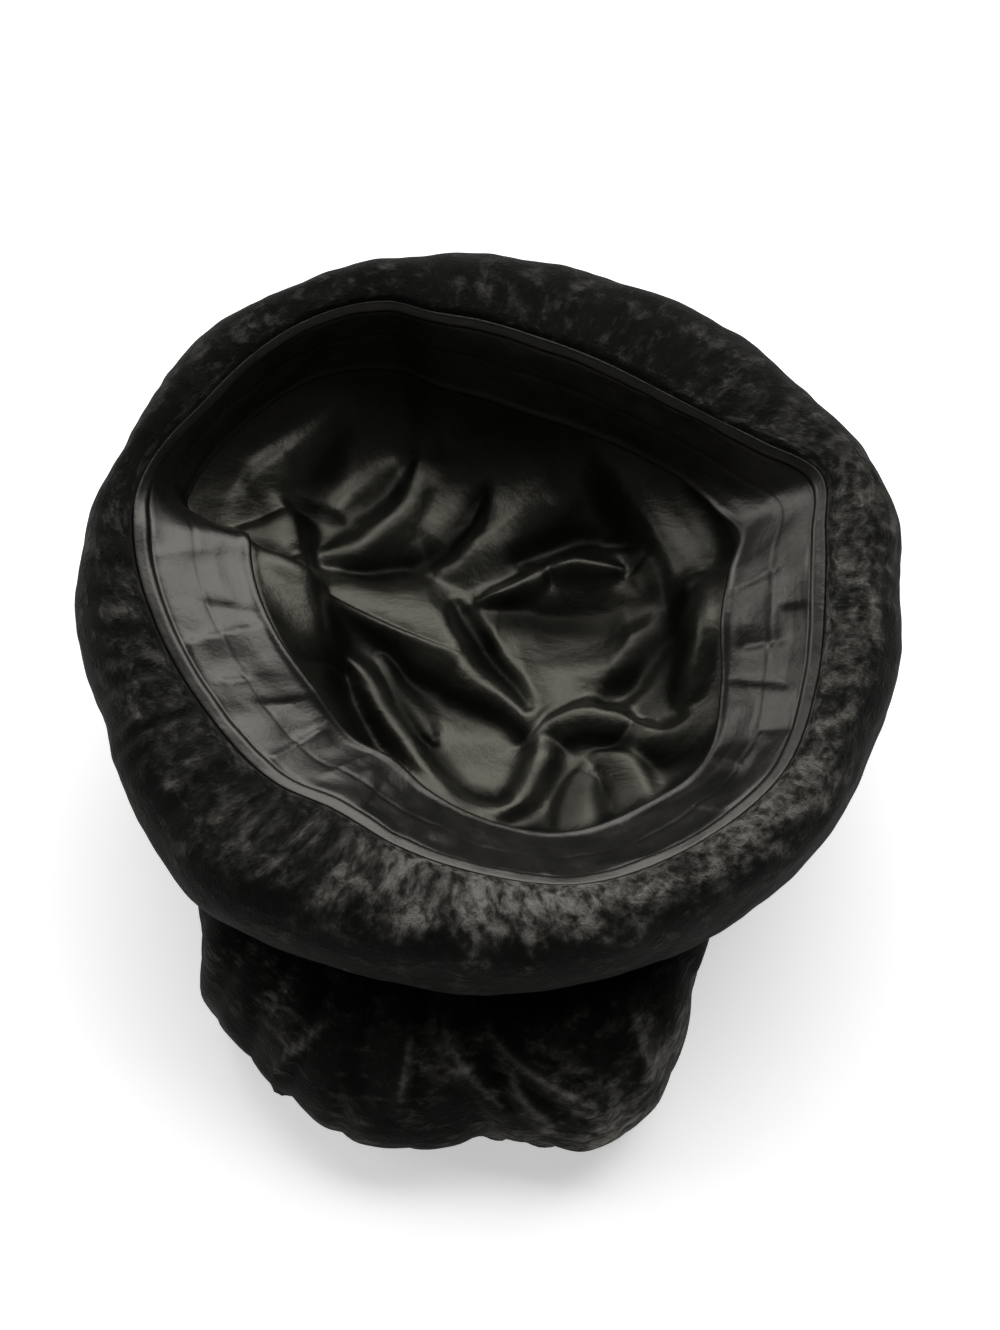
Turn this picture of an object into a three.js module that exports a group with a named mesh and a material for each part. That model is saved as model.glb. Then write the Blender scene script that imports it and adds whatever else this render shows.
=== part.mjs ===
// A black velvet hat with a soft rolled cuff, a gathered crown, a satin sweatband and a satin lining.
// It lies upside down on its crown, so the head opening faces up and two puffs of the crown flop forward.
// Millimetres, +Z up, +X to the right and +Y to the back of the hat as it lies.
import * as THREE from "three";

// Driving sizes
const rimHeight = 97; // middle of the head opening above the surface
const rimTilt = 10; // degrees that the opening leans towards the front
const velvetWall = 2.2;
const satinWall = 1.0;
const liningWall = 1.2;
const clearance = 0.4; // between two pieces that touch
const cuffDepth = 37.4; // from the rim down to the cuff's lower fold
const cuffPuff = 4; // how far the roll swells above the rim
const foldInset = 11; // how far the cuff's lower fold reaches back in
const lumpRise = 0.5; // part of a lump's swell that also lifts the roll
const seamInset = 9; // from the cuff's widest line in to the crown's seam
const shoulderShare = 0.6; // of the way from the seam to the foot, down to the widest line
const seamSwell = 3; // how far the crown puffs out just below its seam
const longPuff = 30; // reach past the seam at which a puff leaves it level
const shoulderRun = 0.55; // where the shoulder's curve turns, as a share of its reach and drop
const shoulderDip = 0.35; // share of the drop that it dips at once where there is no puff
const bandWidth = 33;
const hemSwell = 0.5; // extra thickness of the band's two hems
const liningFloor = 48; // level part of the lining's bowl
const liningTuck = 3; // how far the lining reaches up behind the band
const liningDrop = 1.5; // how far it runs on past the band's lower hem before it turns into the bowl
const bowlCurve = 9; // how late the bowl turns up towards its edge
const bowlSlump = 8; // how much later it does so on the left, where the lining has slumped
const slumpAt = 180;
const slumpSpread = 42;
const liningHold = 8; // how close to its edge the lining's folds die out
const foldCrest = 2.8; // 1 is a sharp crest, 2 a round one, 3 a nearly flat top
const tuckGap = 1.4; // between the band's back and the lining
const footInset = 24; // from the crown's widest line in to where it rests
const gatherCount = 20;
const gatherDepth = 4.5;
const gatherPinch = 0.7; // below 1 the gathers are narrow valleys between broad ribs
const gatherUneven = 0.25; // share of their depth that varies round the hat
const gatherStart = 0.12; // part of a gather that lies above the seam

// Steps round the lofted pieces, rows across them, and rings of the lining's grid
const steps = 80;
const liningRings = 14;
const shoulderRows = 6;
const footRows = 4;

function table(columns, rows) {
  return rows.map((row) => Object.fromEntries(columns.map((name, index) => [name, row[index]])));
}

// The opening seen from above, by azimuth from +X towards +Y in degrees: radius of the rim, radius of
// the cuff's widest line, and degrees that the sweatband falls below level as it goes inwards.
const openingStations = table(["azimuth", "rim", "cuff", "fall"], [
  [0, 94.5, 118.3, 29],
  [12, 97, 120, 33],
  [21, 100.5, 118, 42],
  [30, 90, 116.5, 62],
  [40, 81.8, 112, 74],
  [52, 77, 108, 76],
  [66, 75.6, 105.5, 74],
  [80, 76.8, 107, 72],
  [92, 80.5, 107.5, 72],
  [101, 84.3, 106, 74],
  [109, 90.7, 107, 78],
  [124, 95.5, 113, 84],
  [145, 98.3, 114, 86],
  [152, 101, 115, 72],
  [158, 103, 116, 42],
  [164, 103.5, 117, 30],
  [174, 99.3, 117, 22],
  [186, 92.5, 115.5, 13],
  [202, 84.8, 113, 16],
  [220, 79, 115, 27],
  [234, 73, 110.5, 33],
  [250, 73.6, 106, 38],
  [270, 77.4, 104.5, 41],
  [290, 84.5, 105, 41],
  [310, 89.7, 109.5, 41],
  [330, 95.6, 113.5, 41],
  [346, 94.8, 116.5, 35],
]);

// Half of the cuff's roll in section, from the rim outwards and down to the lower fold. share is the
// part of the way out to the widest line, and the other two are added to it.
const cuffSection = table(["share", "out", "up"], [
  [0, 1.9, -6],
  [0, 2.2, -0.6],
  [0.16, 1.6, cuffPuff * 0.85],
  [0.42, 1.2, cuffPuff],
  [0.72, 0.4, 0.5],
  [0.92, -0.2, -7],
  [1, -1.1, -17],
  [1, -2.4, -28],
  [1, -6.2, -1 - cuffDepth * 0.94],
  [1, -foldInset, -cuffDepth],
]);

// Puckers and lumps of the roll, by azimuth and width in degrees. swell is how far it stands out.
const cuffLumps = table(["azimuth", "width", "swell"], [
  [4, 5, -1.6],
  [15, 6, 1.2],
  [33, 7, -1.4],
  [47, 8, 1.2],
  [60, 6, 1.6],
  [84, 9, -1.2],
  [106, 8, 1.2],
  [122, 7, -1.6],
  [138, 8, 1.4],
  [157, 6, -1.4],
  [180, 7, 1.2],
  [193, 5, -1.6],
  [204, 5, 1.2],
  [214, 5, -1.6],
  [229, 6, 1.6],
  [257, 9, -1.4],
  [283, 9, 1.2],
  [309, 7, -1.2],
  [327, 7, 1.2],
  [343, 6, -1.4],
]);

// The crown by azimuth: radius and height of its widest line. Two puffs flop out between 222 and 303.
const crownStations = table(["azimuth", "belly", "height"], [
  [0, 107, 32],
  [20, 110, 34],
  [45, 110, 36],
  [70, 108, 38],
  [90, 107, 38],
  [112, 108, 38],
  [135, 110, 36],
  [160, 109, 34],
  [180, 107, 30],
  [195, 104, 28],
  [207, 101, 26],
  [216, 102.5, 24],
  [222, 112, 22],
  [228, 122, 21],
  [240, 130, 20],
  [252, 138, 18],
  [260, 138, 18],
  [266, 134, 17],
  [270, 130.5, 16],
  [274, 133.5, 17],
  [281, 138, 18],
  [287, 136, 18],
  [293, 129, 20],
  [298, 119, 21],
  [304, 107, 23],
  [311, 98, 24],
  [322, 97, 26],
  [335, 102, 28],
  [347, 105, 30],
]);

// Broad dents in the crown's sides. down is the share of the way from its seam to its foot.
const crownDents = table(["azimuth", "down", "spread", "tall", "depth"], [
  [8, 0.42, 17, 0.1, 5],
  [38, 0.6, 20, 0.12, 6],
  [63, 0.36, 16, 0.1, 5],
  [96, 0.58, 22, 0.12, 7],
  [124, 0.38, 15, 0.1, 5],
  [150, 0.62, 20, 0.12, 6],
  [177, 0.4, 15, 0.1, 5],
  [201, 0.6, 14, 0.12, 4],
  [318, 0.56, 14, 0.12, 4],
  [341, 0.62, 17, 0.12, 5],
]);

// Folds are soft ridges, or valleys where the lift is negative. Each runs in plan from a start
// through a middle to an end, and falls off over a width of its own on the left and on the right.
const foldColumns = ["x1", "y1", "xm", "ym", "x2", "y2", "lift", "left", "right"];

const liningFolds = table(foldColumns, [
  [-45.5, 31.5, -24.5, 41.5, -15.5, 64, 5, 4, 5],
  [-15.5, 64, -13.5, 70, -12, 77.5, 5, 8, 7],
  [-43.5, 43.5, -37, 49.5, -26, 56.5, 2, 4, 3],
  [-70, 48.5, -58, 59, -43, 72.5, 3, 3, 11],
  [-63.5, 42.5, -59.5, 21.5, -49.5, 6.5, 2.5, 9, 3],
  [-38.5, 26.5, -21.5, 28.5, -7.5, 45, -4, 4, 4],
  [-47.5, 21.5, -31.5, 18, -12, 5, 6, 6, 8],
  [-12, 5, 2, -7, 14.5, -20, 5, 4, 8],
  [-44, 6.5, -22, -9, 7.5, -28.5, -2.5, 6, 6],
  [-4.5, 11.5, 1, 2.5, 10, -10.5, -4, 4, 5],
  [-1.5, 18.5, 6, 3.5, 16.5, -18, 3, 14, 3],
  [-3, 20, 7.5, 23.5, 17.5, 30.5, 5, 3, 4],
  [17.5, 30.5, 27.5, 30.5, 38.5, 28.5, 5, 3, 4],
  [9, 31.5, 24.5, 38, 42.5, 36.5, -4.5, 7, 4],
  [7.5, 17, 21.5, 15, 34.5, 17, -8, 6, 9],
  [14.5, -7, 21.5, -7, 31.5, -4, 3, 9, 10],
  [56.5, 14, 46, 1.5, 31.5, -12, -4, 5, 6],
  [45, 31.5, 48, 26, 44, 20, 3.5, 6, 6],
  [39, 59, 56.5, 38, 65, 6.5, 6, 5, 7],
  [31.5, 51.5, 45.5, 36.5, 56.5, 18.5, -3, 5, 6],
  [65, 6.5, 67, -6, 65.5, -16.5, 5, 5, 5],
  [15, -21, 28.5, -15, 40.5, -19, 7, 4, 9],
  [40.5, -19, 49.5, -23.5, 64, -18, 7, 4, 9],
  [15.5, -21, 14.5, -37.5, 0, -46, 5, 8, 3],
  [-38, 0, -26, -27, 0, -46, 5, 3.5, 7],
  [-30, 1.5, -22, -12, -14.5, -23.5, 2.5, 4, 3],
  [31.5, -31.5, 27, -39, 23.5, -51.5, 3, 4, 3],
  [34.5, -27, 42.5, -36, 44.5, -50, 3.5, 3, 5],
  [48.5, -43, 55, -41.5, 61.5, -37.5, 2.5, 3, 3],
  [-17.5, 31.5, 5, 38.5, 22, 48, 4, 14, 5],
]);

const crownFolds = table(foldColumns, [
  [-44, -107, -53, -110, -62.5, -114, 2.5, 4, 4],
  [-33, -103, -33, -115, -33, -129, 3, 3.5, 3.5],
  [-19, -103, -19, -113, -19, -123, 3, 3.5, 3.5],
  [-10.5, -102, -6.5, -117, 12, -130, 3, 3, 3],
  [-3, -100, -1.5, -112, 5, -121, -7, 4.5, 4.5],
  [0.5, -109, 12, -118, 31.5, -127.5, 3.5, 3, 3],
  [12, -113, 22, -118, 35, -122, -3.5, 3, 3],
  [6, -118, 10, -126, 24.5, -131.5, 3, 3, 3],
  [31.5, -99, 42, -109, 45.5, -120, 2.5, 4, 4],
]);

// Curves and lengths
const toRadians = THREE.MathUtils.degToRad;

function around(stations, column, azimuth) {
  // One column at an azimuth, on a smooth closed curve through the table's rows.
  const count = stations.length;
  const turn = THREE.MathUtils.euclideanModulo(azimuth, 360);
  let before = count - 1;
  while (stations[before].azimuth > turn) before -= 1;
  const knot = (index) => {
    const lap = Math.floor(index / count);
    const row = stations[index - lap * count];
    return { at: row.azimuth + 360 * lap, value: row[column] };
  };
  const [a, b, c, d] = [before - 1, before, before + 1, before + 2].map(knot);
  const span = c.at - b.at;
  const u = (turn - b.at) / span;
  const leaving = ((c.value - a.value) / (c.at - a.at)) * span;
  const arriving = ((d.value - b.value) / (d.at - b.at)) * span;
  const rise = c.value - b.value;
  const bend = 3 * rise - 2 * leaving - arriving;
  const twist = leaving + arriving - 2 * rise;
  return b.value + u * (leaving + u * (bend + u * twist));
}

function turnBetween(azimuth, other) {
  return Math.abs(THREE.MathUtils.euclideanModulo(azimuth - other + 180, 360) - 180);
}

function bump(distance, width) {
  return Math.exp(-((distance / width) ** 2));
}

function at(azimuth, radius, height) {
  const angle = toRadians(azimuth);
  return new THREE.Vector3(radius * Math.cos(angle), radius * Math.sin(angle), height);
}

function rimPoint(azimuth) {
  const radius = around(openingStations, "rim", azimuth);
  const forward = radius * Math.sin(toRadians(azimuth));
  return { radius, height: rimHeight + forward * Math.tan(toRadians(rimTilt)) };
}

function foldCurve(fold) {
  const middle = (start, through, end) => 2 * through - (start + end) / 2;
  return new THREE.QuadraticBezierCurve(
    new THREE.Vector2(fold.x1, fold.y1),
    new THREE.Vector2(middle(fold.x1, fold.xm, fold.x2), middle(fold.y1, fold.ym, fold.y2)),
    new THREE.Vector2(fold.x2, fold.y2),
  );
}

function widthsFrom(x, y, path, fold) {
  // Distance to a fold's path, counted in the fold's width on the side where the place lies.
  let least = Infinity;
  let width = fold.left;
  for (let i = 1; i < path.length; i += 1) {
    const [from, to] = [path[i - 1], path[i]];
    const [dx, dy] = [to.x - from.x, to.y - from.y];
    const along = ((x - from.x) * dx + (y - from.y) * dy) / (dx * dx + dy * dy);
    const share = THREE.MathUtils.clamp(along, 0, 1);
    const [offX, offY] = [x - from.x - share * dx, y - from.y - share * dy];
    const distance = Math.hypot(offX, offY);
    if (distance < least) {
      least = distance;
      const side = (dx * offY - dy * offX) / (Math.hypot(dx, dy) * Math.max(distance, 1e-6));
      width = THREE.MathUtils.lerp(fold.right, fold.left, (1 + side) / 2);
    }
  }
  return least / width;
}

function foldField(folds) {
  // Height that a set of folds adds at a place. Crossing ridges blend to the higher one.
  const blend = 3;
  const paths = folds.map((fold) => foldCurve(fold).getPoints(8));
  return (x, y) => {
    let ridges = 0;
    let valleys = 0;
    folds.forEach((fold, index) => {
      const lift = Math.abs(fold.lift) * Math.exp(-(widthsFrom(x, y, paths[index], fold) ** foldCrest));
      if (fold.lift > 0) ridges += lift ** blend;
      else valleys += lift ** blend;
    });
    return ridges ** (1 / blend) - valleys ** (1 / blend);
  };
}

// Meshes are lofted through rings that run once round the hat.
function ring(place) {
  return Array.from({ length: steps }, (_, step) => place((360 * step) / steps));
}

function loft(rings, poles) {
  // With poles the rings close at the first and last pole, otherwise the last ring joins the first.
  const points = rings.flat();
  const faces = [];
  const bands = poles ? rings.length - 1 : rings.length;
  for (let band = 0; band < bands; band += 1) {
    const low = band * steps;
    const high = ((band + 1) % rings.length) * steps;
    for (let step = 0; step < steps; step += 1) {
      const next = (step + 1) % steps;
      faces.push([low + step, low + next, high + next], [low + step, high + next, high + step]);
    }
  }
  if (poles) {
    const last = (rings.length - 1) * steps;
    const [first, end] = [points.length, points.length + 1];
    points.push(...poles);
    for (let step = 0; step < steps; step += 1) {
      const next = (step + 1) % steps;
      faces.push([first, next, step], [end, last + step, last + next]);
    }
  }
  return body(points, faces);
}

function body(points, faces) {
  const volume = faces.reduce((sum, [a, b, c]) => {
    return sum + points[a].dot(new THREE.Vector3().crossVectors(points[b], points[c]));
  }, 0);
  const outward = volume > 0 ? faces : faces.map(([a, b, c]) => [a, c, b]);
  const geometry = new THREE.BufferGeometry().setFromPoints(points);
  geometry.setIndex(outward.flat());
  geometry.computeVertexNormals();
  return geometry;
}

function thickened(rings, pole, wall) {
  // The far side of a wall whose near side is given by rings that end at a pole.
  return rings.map((row, index) => row.map((point, step) => {
    const ahead = index + 1 < rings.length ? rings[index + 1][step] : pole;
    const behind = rings[Math.max(index - 1, 0)][step];
    const [left, right] = [row[(step + steps - 1) % steps], row[(step + 1) % steps]];
    const round = new THREE.Vector3().subVectors(right, left);
    const along = new THREE.Vector3().subVectors(ahead, behind);
    const normal = round.cross(along).normalize();
    return point.clone().addScaledVector(normal, wall);
  }));
}

function shell(rings, pole, wall) {
  // A thin closed wall: the given face, its edge and the face behind it.
  const farPole = pole.clone().add(new THREE.Vector3(0, 0, wall));
  return loft([...rings.slice().reverse(), ...thickened(rings, pole, wall)], [pole, farPole]);
}

// The velvet cuff: a soft wall that swells over the rim and folds in at its lower edge.
function cuffGeometry() {
  const lumpAt = (azimuth) => cuffLumps.reduce((sum, lump) => (
    sum + lump.swell * bump(turnBetween(azimuth, lump.azimuth), lump.width)
  ), 0);
  const middle = (azimuth) => {
    const rim = rimPoint(azimuth);
    const reach = around(openingStations, "cuff", azimuth) - rim.radius;
    const lump = lumpAt(azimuth);
    const points = cuffSection.map((row, index) => {
      const free = Math.sin((Math.PI * index) / (cuffSection.length - 1)) ** 2;
      const out = row.share * (reach + free * lump) + row.out;
      return new THREE.Vector2(out, row.up + lumpRise * free * lump);
    });
    return { rim, points };
  };
  const face = (side) => cuffSection.map((_, index) => ring((azimuth) => {
    const { rim, points } = middle(azimuth);
    const from = points[Math.max(index - 1, 0)];
    const to = points[Math.min(index + 1, points.length - 1)];
    const along = new THREE.Vector2().subVectors(to, from).normalize();
    const out = points[index].x - along.y * side * (velvetWall / 2);
    const up = points[index].y + along.x * side * (velvetWall / 2);
    return at(azimuth, rim.radius + out, rim.height + up);
  }));
  return loft([...face(1), ...face(-1).reverse()]);
}

// The sweatband: a satin strip that slopes in from the rim, with a hem along both edges.
const bandSection = table(["share", "thickness"], [
  [0, satinWall + hemSwell],
  [0.06, satinWall + hemSwell],
  [0.1, satinWall],
  [0.92, satinWall],
  [0.95, satinWall + hemSwell],
  [1, satinWall + hemSwell],
]);

function bandPoint(azimuth, down, lift) {
  // down runs along the strip from the rim, and lift rises square to it into the head opening.
  const rim = rimPoint(azimuth);
  const fall = toRadians(around(openingStations, "fall", azimuth));
  const inward = down * Math.cos(fall) + lift * Math.sin(fall);
  const drop = down * Math.sin(fall) - lift * Math.cos(fall);
  return at(azimuth, rim.radius - inward, rim.height - drop);
}

function bandGeometry() {
  const face = (side) => bandSection.map((row) => ring((azimuth) => (
    bandPoint(azimuth, row.share * bandWidth, (side * row.thickness) / 2)
  )));
  return loft([...face(1), ...face(-1).reverse()]);
}

// The lining: a crumpled satin bowl whose edge is tucked up behind the sweatband. Its grid is a square
// drawn out to a disc, so that the folds have the same detail all over.
function liningGeometry() {
  const fieldHeight = foldField(liningFolds);
  const behindBand = -(satinWall / 2 + hemSwell / 2 + tuckGap + liningWall / 2);
  const centre = new THREE.Vector3(3, -2, 0);
  const edge = (azimuth) => bandPoint(azimuth, bandWidth + liningDrop, behindBand);
  const place = (column, row) => {
    const [x, y] = [column - liningRings, row - liningRings];
    const out = Math.max(Math.abs(x), Math.abs(y));
    const azimuth = out === 0 ? 0 : squareAzimuth(x, y, out);
    if (out === liningRings) return bandPoint(azimuth, bandWidth - liningTuck, behindBand);
    const share = out / (liningRings - 1);
    const outer = edge(azimuth);
    const point = new THREE.Vector3().lerpVectors(centre, outer, share);
    const curve = bowlCurve + bowlSlump * bump(turnBetween(azimuth, slumpAt), slumpSpread);
    const bowl = liningFloor + (outer.z - liningFloor) * share ** curve;
    point.z = bowl + fieldHeight(point.x, point.y) * (1 - share ** liningHold);
    return point;
  };
  const count = 2 * liningRings + 1;
  const middle = [];
  for (let row = 0; row < count; row += 1) {
    for (let column = 0; column < count; column += 1) middle.push(place(column, row));
  }
  return sheet(middle, count, liningWall);
}

function squareAzimuth(x, y, out) {
  // Azimuth of a grid point whose square ring is drawn out to a circle.
  const eighth = 45 / out;
  if (x === out) return y * eighth;
  if (y === out) return 90 - x * eighth;
  if (x === -out) return 180 - y * eighth;
  return 270 + x * eighth;
}

function sheet(middle, count, wall) {
  // A closed thin wall round a square grid of points, half of its thickness on each side.
  const cell = (column, row) => row * count + column;
  const last = count - 1;
  const normals = middle.map((_, index) => {
    const [column, row] = [index % count, Math.floor(index / count)];
    const across = new THREE.Vector3().subVectors(
      middle[cell(Math.min(column + 1, last), row)],
      middle[cell(Math.max(column - 1, 0), row)],
    );
    const up = new THREE.Vector3().subVectors(
      middle[cell(column, Math.min(row + 1, last))],
      middle[cell(column, Math.max(row - 1, 0))],
    );
    return across.cross(up).normalize();
  });
  const side = (offset) => middle.map((point, index) => (
    point.clone().addScaledVector(normals[index], offset)
  ));
  const points = [...side(wall / 2), ...side(-wall / 2)];
  const under = middle.length;
  const faces = [];
  for (let row = 0; row < last; row += 1) {
    for (let column = 0; column < last; column += 1) {
      const [a, b] = [cell(column, row), cell(column + 1, row)];
      const [c, d] = [cell(column + 1, row + 1), cell(column, row + 1)];
      const rising = Math.abs(middle[a].z - middle[c].z) < Math.abs(middle[b].z - middle[d].z);
      const pair = rising ? [[a, b, c], [a, c, d]] : [[a, b, d], [b, c, d]];
      pair.forEach(([p, q, r]) => faces.push([p, q, r], [under + p, under + r, under + q]));
    }
  }
  for (let step = 0; step < last; step += 1) {
    const sides = [
      [cell(step, 0), cell(step + 1, 0)],
      [cell(last, step), cell(last, step + 1)],
      [cell(last - step, last), cell(last - step - 1, last)],
      [cell(0, last - step), cell(0, last - step - 1)],
    ];
    sides.forEach(([from, to]) => faces.push([from, under + from, under + to], [from, under + to, to]));
  }
  return body(points, faces);
}

// The crown: a gathered velvet bag that hangs from the cuff's lower fold and lies flat on the surface.
function crownGeometry() {
  const fieldHeight = foldField(crownFolds);
  const seamAt = (azimuth) => ({
    radius: around(openingStations, "cuff", azimuth) - seamInset,
    height: rimPoint(azimuth).height - cuffDepth - velvetWall / 2 - clearance,
  });
  const relief = (azimuth, down) => {
    // Gathers are narrow valleys that run down from the seam, between softer dents. down is 1 at the foot.
    const angle = toRadians(azimuth);
    const phase = (gatherCount / 2) * angle + 0.5 * Math.sin(3 * angle) + 0.4 * Math.sin(5 * angle + 1);
    const pinch = 1 - Math.abs(Math.sin(phase)) ** gatherPinch;
    const uneven = 1 - gatherUneven * (1 - Math.sin(7 * angle + 2));
    const fade = Math.sin(Math.PI * THREE.MathUtils.lerp(gatherStart, 1, down));
    const gather = gatherDepth * pinch * uneven * fade;
    const dent = crownDents.reduce((sum, row) => (
      sum + row.depth * bump(turnBetween(azimuth, row.azimuth), row.spread) * bump(down - row.down, row.tall)
    ), 0);
    return -gather - dent;
  };
  const shoulderCurve = (azimuth) => {
    // In section, from the seam out and down to the widest line. A long puff leaves the seam level.
    const seam = seamAt(azimuth);
    const belly = around(crownStations, "belly", azimuth);
    const height = around(crownStations, "height", azimuth);
    const reach = Math.max(belly - seam.radius, 0);
    const drop = seam.height - height;
    const level = Math.min(reach / longPuff, 1);
    const run = seamSwell + shoulderRun * reach;
    const dip = shoulderDip * drop * (1 - level);
    return new THREE.CubicBezierCurve(
      new THREE.Vector2(seam.radius, seam.height),
      new THREE.Vector2(seam.radius + run, seam.height - dip),
      new THREE.Vector2(belly, height + shoulderRun * drop),
      new THREE.Vector2(belly, height),
    );
  };
  const shoulder = (azimuth, share) => {
    const section = shoulderCurve(azimuth);
    const point = section.getPoint(share);
    const along = section.getTangent(share);
    const place = at(azimuth, point.x, point.y);
    const outwards = at(azimuth, -along.y, along.x);
    const fade = Math.sin((Math.PI * share) / 2) ** 2;
    const swell = fieldHeight(place.x, place.y) * fade + relief(azimuth, share * shoulderShare);
    return place.addScaledVector(outwards, swell);
  };
  const foot = (azimuth, share) => {
    const belly = around(crownStations, "belly", azimuth);
    const height = around(crownStations, "height", azimuth);
    const turn = (share * Math.PI) / 2;
    const fold = fieldHeight(...at(azimuth, belly, 0).toArray()) * Math.cos(turn) ** 2;
    const swell = fold + relief(azimuth, shoulderShare + share * (1 - shoulderShare)) * Math.cos(turn);
    return at(azimuth, belly - footInset * (1 - Math.cos(turn)) + swell, height * (1 - Math.sin(turn)));
  };
  const rings = [];
  for (let row = 0; row < shoulderRows; row += 1) {
    rings.push(ring((azimuth) => shoulder(azimuth, row / shoulderRows)));
  }
  for (let row = 0; row <= footRows; row += 1) {
    rings.push(ring((azimuth) => foot(azimuth, row / footRows)));
  }
  const pole = new THREE.Vector3(0, 0, 0);
  return shell(rings, pole, velvetWall);
}

// Materials and assembly
function fabric(color, roughness) {
  return new THREE.MeshStandardMaterial({ color, roughness, metalness: 0 });
}

const crushedVelvet = { color: 0x1c1c19, roughness: 0.85 };
const blackSatin = { color: 0x2c2b27, roughness: 0.38 };

const pieces = [
  { name: "velvet_cuff", geometry: cuffGeometry(), finish: crushedVelvet },
  { name: "velvet_crown", geometry: crownGeometry(), finish: crushedVelvet },
  { name: "satin_sweatband", geometry: bandGeometry(), finish: blackSatin },
  { name: "satin_lining", geometry: liningGeometry(), finish: blackSatin },
];

// The origin is the bottom centre of the whole hat's box.
const hat = new THREE.Group();
pieces.forEach(({ name, geometry, finish }) => {
  const mesh = new THREE.Mesh(geometry, fabric(finish.color, finish.roughness));
  mesh.name = name;
  hat.add(mesh);
});
const middle = new THREE.Box3().setFromObject(hat).getCenter(new THREE.Vector3());
hat.position.set(-middle.x, -middle.y, 0);
hat.updateMatrixWorld(true);

export default hat;
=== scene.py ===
# %% [markdown]
# # A black velvet hat, lying upside down
# The hat has four sewn pieces: a rolled velvet cuff, a gathered velvet crown, a satin sweatband and a
# crumpled satin lining. Each one is a sheet of cloth, so each one starts here as a flat grid whose
# two directions are the cloth's own. The grid's vertices are then moved to where the cloth lies. That
# keeps the mesh even, gives every piece a UV map for its weave and pile, and lets one small table
# say where each fold runs. Sculpting by hand would look alike, but could not be changed by a number.

# %% Load the frame
import math

import bmesh
import bpy
import numpy as np
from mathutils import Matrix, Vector, noise


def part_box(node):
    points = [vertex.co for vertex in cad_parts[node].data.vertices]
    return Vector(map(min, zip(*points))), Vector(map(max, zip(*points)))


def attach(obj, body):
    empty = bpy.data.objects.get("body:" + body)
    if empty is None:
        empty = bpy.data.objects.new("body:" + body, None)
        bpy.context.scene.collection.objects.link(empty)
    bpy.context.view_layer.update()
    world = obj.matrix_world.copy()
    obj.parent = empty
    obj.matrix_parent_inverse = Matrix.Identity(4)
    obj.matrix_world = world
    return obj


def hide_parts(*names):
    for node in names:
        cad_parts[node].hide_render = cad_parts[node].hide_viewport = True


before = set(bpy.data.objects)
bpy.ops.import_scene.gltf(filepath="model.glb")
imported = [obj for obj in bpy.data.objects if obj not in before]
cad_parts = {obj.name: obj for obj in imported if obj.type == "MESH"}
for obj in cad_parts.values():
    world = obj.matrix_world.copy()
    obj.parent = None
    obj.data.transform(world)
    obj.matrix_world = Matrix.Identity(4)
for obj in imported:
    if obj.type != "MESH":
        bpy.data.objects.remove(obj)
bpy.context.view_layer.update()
MM = 0.001

# %% [markdown]
# ## Sizes
# These are the sizes that the solids were made from, in millimetres. The opening leans towards the
# front, because the hat has slumped onto its crown.

# %% Sizes of the hat
RIM_HEIGHT = 97.0
RIM_TILT = math.tan(math.radians(10.0))
VELVET_WALL = 2.2
CUFF_DEPTH = 37.4
CUFF_PUFF = 4.0
FOLD_INSET = 11.0
SEAM_INSET = 9.0
SEAM_GAP = 1.5
SEAM_SWELL = 3.0
LONG_PUFF = 30.0
BAND_WIDTH = 33.0
BAND_WALL = 1.0
LINING_WALL = 0.9
LINING_FLOOR = 48.0
FOOT_INSET = 24.0
print("rim at", RIM_HEIGHT, "mm, cuff", CUFF_DEPTH, "mm deep, band", BAND_WIDTH, "mm wide")

# %% [markdown]
# ## Stations round the opening
# A soft ring is never round. Each row gives, at one azimuth, how far out the satin's edge and the
# cuff's widest line lie, and how steeply the sweatband falls inwards. A smooth closed curve through the
# rows fills in the rest, so two dozen rows are enough for the whole ring.

# %% A table with named columns and a smooth closed curve through it
class Stations:
    def __init__(self, columns, rows):
        self.rows = np.array(rows, float)
        self.columns = columns.split()

    def __call__(self, column, azimuth):
        """One column at these azimuths, in degrees, on a closed cubic through the rows."""
        at = self.rows[:, 0]
        value = self.rows[:, self.columns.index(column)]
        at = np.concatenate([at[-2:] - 360, at, at[:2] + 360])
        value = np.concatenate([value[-2:], value, value[:2]])
        slope = (value[2:] - value[:-2]) / (at[2:] - at[:-2])
        turn = np.mod(azimuth, 360.0)
        before = np.searchsorted(at, turn, side="right") - 1
        span = at[before + 1] - at[before]
        u = (turn - at[before]) / span
        leaving = slope[before - 1] * span
        arriving = slope[before] * span
        rise = value[before + 1] - value[before]
        curve = 3 * rise - 2 * leaving - arriving + u * (leaving + arriving - 2 * rise)
        return value[before] + u * (leaving + u * curve)


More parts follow.
